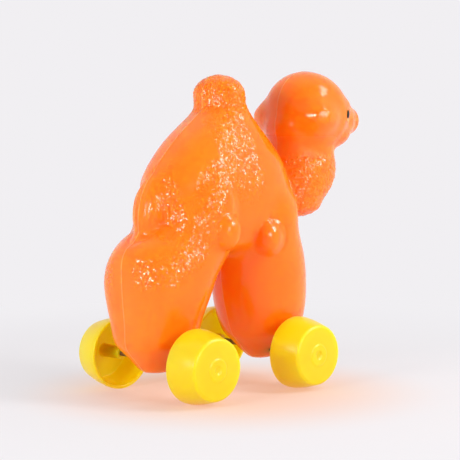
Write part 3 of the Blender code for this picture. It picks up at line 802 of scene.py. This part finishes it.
class Wire:
    """An output socket of a material, with arithmetic that adds Math nodes."""

    def __init__(self, material, socket=None):
        self.material, self.socket = material, socket

    def node(self, kind, settings=None, out=0, **values):
        """Any node: its settings are set first, then its inputs by name, or by number as in i0."""
        node = self.material.node_tree.nodes.new(f"ShaderNode{kind}")
        for key, value in (settings or {}).items():
            setattr(node, key, value)
        for key, value in values.items():
            name = int(key[1:]) if key[0] == "i" and key[1:].isdigit() else key.replace("_", " ")
            plug(self.material, node.inputs[name], value)
        return Wire(self.material, node.outputs[out])

    def other(self, name):
        """Another output of the same node."""
        return Wire(self.material, self.socket.node.outputs[name])

    def vectors(self, operation, first, second=(0.0, 0.0, 0.0), out="Vector"):
        """A Vector Math node, with out as Value where it gives a number."""
        return self.node("VectorMath", {"operation": operation}, out=out, i0=first, i1=second)

    def noise(self, place, scale, detail, roughness):
        """A Noise texture."""
        return self.node("TexNoise", Vector=place, Scale=scale, Detail=detail, Roughness=roughness)

    def maths(self, operation, *values):
        """A Math node."""
        inputs = {f"i{k}": value for k, value in enumerate(values)}
        return self.node("Math", {"operation": operation}, **inputs)

    def __add__(self, other):
        return self.maths("ADD", self, other)

    __radd__ = __add__

    def __rsub__(self, other):
        return self.maths("SUBTRACT", other, self)

    def __mul__(self, other):
        return self.maths("MULTIPLY", self, other)

    __rmul__ = __mul__

    def __abs__(self):
        return self.maths("ABSOLUTE", self)

    def step(self, low, high):
        """0 at low and below, 1 at high and above, smooth between."""
        settings = {"interpolation_type": "SMOOTHSTEP"}
        return self.node("MapRange", settings, Value=self, From_Min=low, From_Max=high)


def plug(material, target, value):
    """Link a wire to an input, or set a plain value on it."""
    if isinstance(value, Wire):
        material.node_tree.links.new(value.socket, target)
    else:
        target.default_value = value


def shade(material, shader, **values):
    """Plug values into a shader's inputs, whose names have underscores for spaces here."""
    for name, value in values.items():
        plug(material, shader.inputs[name.replace("_", " ")], value)


def new_material(name):
    """Node material with only its Principled shader and output, and a wire to start from."""
    material = bpy.data.materials.new(name)
    material.use_nodes = True
    return material, material.node_tree.nodes["Principled BSDF"], Wire(material)


def mixed(factor, first, second):
    """Colour between two others."""
    return factor.node("Mix", {"data_type": "RGBA"}, out=2, i0=factor, i6=first, i7=second)


def paint(piece, name, values):
    """Store one number per point under a name that a material can read."""
    layer = piece.data.attributes.new(name, "FLOAT", "POINT")
    layer.data.foreach_set("value", values.astype(np.float32))


def dress(piece, material):
    """Give a piece its only material."""
    piece.data.materials.clear()
    piece.data.materials.append(material)


print("shader maths is ready")

# %% [markdown]
# The skin is translucent polyethylene, strongly coloured: red light travels far inside it and green only a
# little, so shaded parts turn a deep orange instead of grey. The gloss is that of the mould, clear on the
# head and duller in the crease under it, and the seam is a thin pale line where the flash was trimmed. On
# the flank the pebbles are finer than the mesh, so each cell of a Voronoi texture also bumps the coat, with
# a low dome and a small lean of its own. The lean is what lets single pebbles sparkle.

# %% Orange skin
CELL_SCALE, CELL_DOME, CELL_ROUND, CELL_LEAN, GRAIN_BUMP = 720.0, 0.00005, 3.0, 0.46, 0.000006
UNDER_HEAD = 134

orange, shader, wire = new_material("orange_polyethylene")
place = wire.node("TexCoord", out="Object")
aside = wire.node("SeparateXYZ", out="Y", Vector=place)
flow = wire.noise(place, 22.0, 3.0, 0.55)
grain = wire.noise(place, 900.0, 2.0, 0.5)
coat = wire.node("Attribute", {"attribute_name": "pebbled"}, out="Fac")
crease = wire.node("Attribute", {"attribute_name": "under_head"}, out="Fac")
seam = 1 - abs(aside).step(0.0002, 0.0007)
tone = mixed(flow.step(0.3, 0.7), (1.0, 0.195, 0.003, 1), (1.0, 0.225, 0.006, 1))
cells = wire.node("TexVoronoi", {"feature": "F1"}, out="Distance", Vector=place, Scale=CELL_SCALE)
from_centre = wire.vectors("SUBTRACT", place, cells.other("Position"))
lean = wire.vectors("SUBTRACT", cells.other("Color"), (0.5, 0.5, 0.5))
tilt = wire.vectors("DOT_PRODUCT", from_centre, lean, out="Value")
dome = wire.maths("MAXIMUM", 1 - CELL_ROUND * cells * cells, 0.0)
fine = coat * (CELL_DOME * dome + CELL_LEAN * tilt) + GRAIN_BUMP * grain
shade(
    orange,
    shader,
    Base_Color=mixed(seam * 0.35, tone, (1.0, 0.42, 0.12, 1)),
    Roughness=0.13 + 0.05 * flow + 0.04 * grain + 0.12 * seam + 0.25 * crease,
    Normal=wire.node("Bump", Height=fine, Distance=1.0, Strength=1.0),
    Subsurface_Weight=0.9,
    Subsurface_Radius=(1.0, 0.12, 0.03),
    Subsurface_Scale=0.022,
    IOR=1.42,
)
dress(skin, orange)

skin_points = points_of(skin.data)
skin_points[:, 1] = -np.abs(skin_points[:, 1])
coat_mask = with_coat(skin_points)
paint(skin, "pebbled", coat_mask)
off_crease, ahead = np.abs(skin_points[:, 2] - UNDER_HEAD), skin_points[:, 0]
crease_mask = (1 - soft_step(3, 9, off_crease)) * soft_step(20, 26, ahead) * (1 - soft_step(50, 60, ahead))
paint(skin, "under_head", crease_mask)
print("pebbled share of the skin:", round(float(coat_mask.mean()), 2))

# %% [markdown]
# The wheels are the same kind of plastic in yellow, a little duller and with a fine grain. The axles are
# wire that has browned with age, and the eyes are black beads with a faint gloss.

# %% Yellow wheels, wire and beads
yellow, shader, wire = new_material("yellow_polyethylene")
place = wire.node("TexCoord", out="Object")
flow = wire.noise(place, 35.0, 3.0, 0.5)
grain = wire.noise(place, 1100.0, 2.0, 0.5)
shade(
    yellow,
    shader,
    Base_Color=mixed(flow.step(0.3, 0.7), (1.0, 0.6, 0.003, 1), (1.0, 0.65, 0.006, 1)),
    Roughness=0.24 + 0.08 * flow + 0.06 * grain,
    Normal=wire.node("Bump", Height=grain, Distance=0.0002, Strength=0.06),
    Subsurface_Weight=0.9,
    Subsurface_Radius=(1.0, 0.62, 0.05),
    Subsurface_Scale=0.017,
    IOR=1.42,
)

steel, shader, wire = new_material("browned_wire")
rust = wire.noise(wire.node("TexCoord", out="Object"), 260.0, 4.0, 0.6)
shade(
    steel,
    shader,
    Base_Color=mixed(rust.step(0.35, 0.65), (0.20, 0.13, 0.08, 1), (0.11, 0.045, 0.016, 1)),
    Roughness=0.35 + 0.35 * rust,
    Metallic=0.7,
)

black, shader, wire = new_material("black_bead")
speck = wire.noise(wire.node("TexCoord", out="Object"), 500.0, 2.0, 0.5)
shade(
    black,
    shader,
    Base_Color=mixed(speck, (0.006, 0.005, 0.005, 1), (0.016, 0.012, 0.011, 1)),
    Roughness=0.12 + 0.1 * speck,
    Specular_IOR_Level=0.06,
)

finishes = {"wheel_yellow": yellow, "axle_steel": steel, "eye_black": black}
for piece in list(bpy.data.objects):
    if piece.get("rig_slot") in finishes:
        dress(piece, finishes[piece["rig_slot"]])
print("finishes:", ", ".join(m.name for m in bpy.data.materials if m.users))

# %% [markdown]
# The toy stands on a pale sweep under large soft lamps. The floor is a wide disc that fades into the pale
# world before the horizon. Near the toy its glow is orange: painted bounce light, standing in for the light
# that the orange skin throws on it. The camera sees the world in its full pale colour, but as a light it is
# weaker, and darker on the camera's side.

# %% Floor, world and lamps
# The second colour is painted bounce light, the orange glow of the floor near the toy
PALE, PAINTED_BOUNCE = (0.88, 0.863, 0.887, 1), (1.0, 0.57, 0.38, 1)
FLOOR_R, FLOOR_TOP, FLOOR_BOTTOM, FLOOR_SIDES = 6000, -0.01, -2, 64
FLOOR_MIDDLE = (-0.028, -0.015, 0.0)

disc = np.array([(0, FLOOR_TOP), (FLOOR_R, FLOOR_TOP), (FLOOR_R, FLOOR_BOTTOM), (0, FLOOR_BOTTOM)])
floor_mesh = new_mesh("floor", *turned(disc, FLOOR_SIDES, np.zeros(3), UP, AHEAD))
floor = bpy.data.objects.new("floor", floor_mesh)
bpy.context.scene.collection.objects.link(floor)
sweep, shader, wire = new_material("pale_sweep")
off_middle = wire.vectors("SUBTRACT", wire.node("TexCoord", out="Object"), FLOOR_MIDDLE)
away = wire.vectors("LENGTH", off_middle, out="Value")
shade(sweep, shader, Base_Color=(0.8, 0.78, 0.79, 1), Roughness=0.9, Specular_IOR_Level=0.1)
# Painted bounce light: the floor's glow turns from pale to orange near the toy
glow_and_painted_bounce = wire.node("Emission", Color=mixed(away.step(0.035, 0.125), PAINTED_BOUNCE, PALE), Strength=1.0)
fade = 0.63 + 0.37 * away.step(0.12, 0.42)
surface = wire.node("MixShader", Fac=fade, i1=Wire(sweep, shader.outputs[0]), i2=glow_and_painted_bounce)
plug(sweep, sweep.node_tree.nodes["Material Output"].inputs["Surface"], surface)
dress(floor, sweep)

world = bpy.data.worlds.new("pale_world")
bpy.context.scene.world = world
world.use_nodes = True
wire = Wire(world)
ray = wire.node("LightPath")
by_camera, through, by_gloss = (ray.other(f"Is {kind} Ray") for kind in ("Camera", "Transmission", "Glossy"))
heading = wire.node("TexCoord", out="Generated")
camera_side = wire.vectors("DOT_PRODUCT", heading, tuple(to_camera), out="Value").step(-0.3, 0.7)
dim = (1 - 0.6 * camera_side) * (0.7 + 0.3 * by_gloss)
shown = wire.maths("MAXIMUM", by_camera, through)
backdrop = world.node_tree.nodes["Background"]
shade(world, backdrop, Color=PALE, Strength=wire.maths("MAXIMUM", shown, dim))

# Each lamp has its direction from the toy, then distance, width and height in metres, then power in watts
LAMPS = {
    "key_lamp": ((0.52, -0.7, 0.48), 1.0, 0.31, 0.31, 5.2),
    "top_lamp": ((0.37, -0.42, 0.83), 1.0, 0.2, 0.24, 1.7),
    "near_lamp": ((-0.06, -0.97, 0.2), 1.2, 0.36, 0.3, 4.2),
    "back_lamp": ((-0.95, -0.08, 0.22), 1.0, 0.4, 0.2, 6.4),
}
for name, (direction, distance, width, height, power) in LAMPS.items():
    light = bpy.data.lights.new(name, "AREA")
    light.shape = "RECTANGLE"
    light.size, light.size_y = width, height
    light.energy = power
    lamp_at = AIM + np.array(direction) / np.linalg.norm(direction) * distance
    aimed(bpy.data.objects.new(name, light), lamp_at, AIM).visible_camera = False
bpy.context.scene.view_settings.view_transform = "Standard"
print("lamps:", ", ".join(LAMPS))
